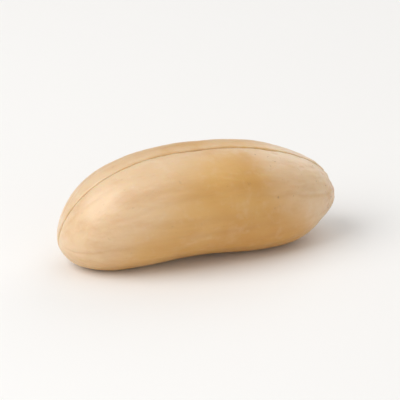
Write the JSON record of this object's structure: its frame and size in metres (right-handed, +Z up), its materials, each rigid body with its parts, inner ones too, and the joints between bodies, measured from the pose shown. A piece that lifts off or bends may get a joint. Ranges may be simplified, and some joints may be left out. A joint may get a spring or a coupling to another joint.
{
  "type": "peanut kernel",
  "caption": "Long blanched nut kernel lying on its side: two seed halves meet at a fine seam, and the germ's tip shows between them at one end.",
  "frame": {"origin": "under the middle of the kernel, on the surface that it rests on", "axes": "+X along the kernel towards the germ end, +Y to the back, +Z up"},
  "size_m": [0.0192, 0.0076, 0.0074],
  "materials": {
    "cotyledon_front": "satin, slightly translucent ivory nut flesh",
    "cotyledon_back": "satin, slightly translucent ivory nut flesh",
    "germ": "satin honey-coloured nut flesh"
  },
  "bodies": {
    "root": {"cotyledon_front": "cotyledon_front", "cotyledon_back": "cotyledon_back", "germ": "germ"}
  },
  "joints": []
}
